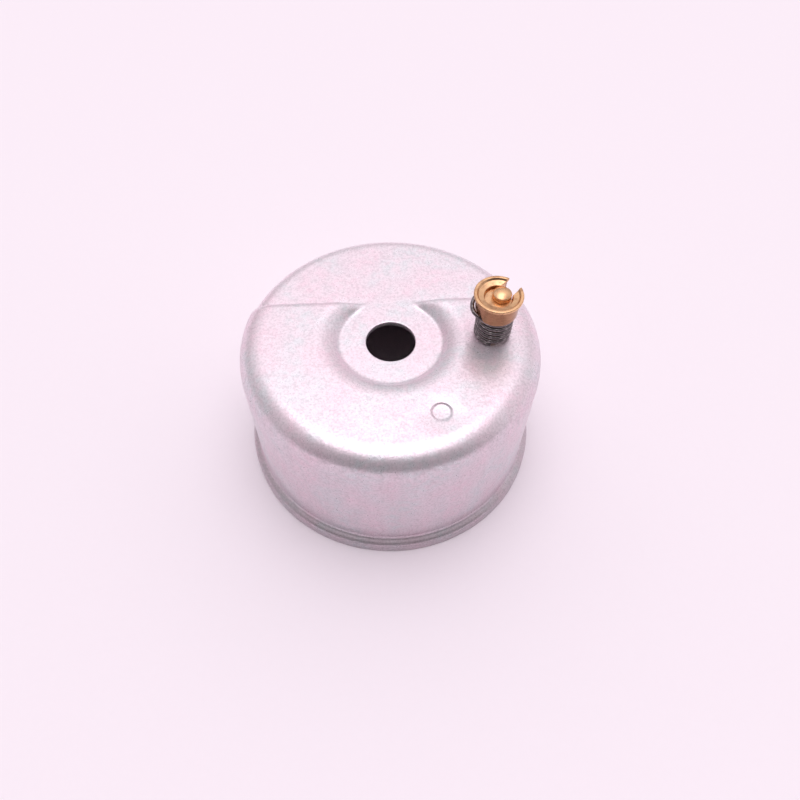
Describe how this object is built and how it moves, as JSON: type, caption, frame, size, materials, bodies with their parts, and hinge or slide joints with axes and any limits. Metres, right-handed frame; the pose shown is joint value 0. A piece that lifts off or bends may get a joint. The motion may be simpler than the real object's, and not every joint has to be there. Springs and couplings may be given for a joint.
{
  "type": "carburettor float bowl",
  "caption": "Small-engine carburettor float bowl in plated drawn steel, stood on its open rim, with a nut seat, a stepped sump floor and a spring-loaded slotted brass drain valve.",
  "frame": {"origin": "centre of the open rim's plane, on the bowl's axis; the part stands upside down on its rim, as on a bench", "axes": "+Z along the bowl's axis from the open rim to the floor, +X from the axis towards the drain valve, +Y towards the shallow part of the floor"},
  "size_m": [0.061, 0.061, 0.0432],
  "materials": {
    "zinc_plated_steel": "bright zinc plate, satin, finely mottled",
    "turned_brass": "turned, slightly tarnished",
    "spring_wire": "dark drawn wire",
    "black_rubber": "matt moulded rubber"
  },
  "bodies": {
    "bowl": {"bowl": "zinc_plated_steel", "drain_spring": "spring_wire"},
    "drain_valve": {"drain_stem": "turned_brass", "drain_seal": "black_rubber"},
    "retainer": {"spring_retainer": "turned_brass"}
  },
  "joints": [
    {"name": "drain_push", "type": "slide", "parent": "bowl", "child": "drain_valve", "axis": [0, 0, -1], "range_m": [0, 0.002], "stiffness_N_per_m": 450, "springref_m": -0.004, "deforming": ["drain_spring"]},
    {"name": "retainer_turn", "type": "hinge", "parent": "drain_valve", "child": "retainer", "pos_m": [0.01984, -0.0002, 0.0387], "axis": [0, 0, 1], "continuous": true}
  ]
}
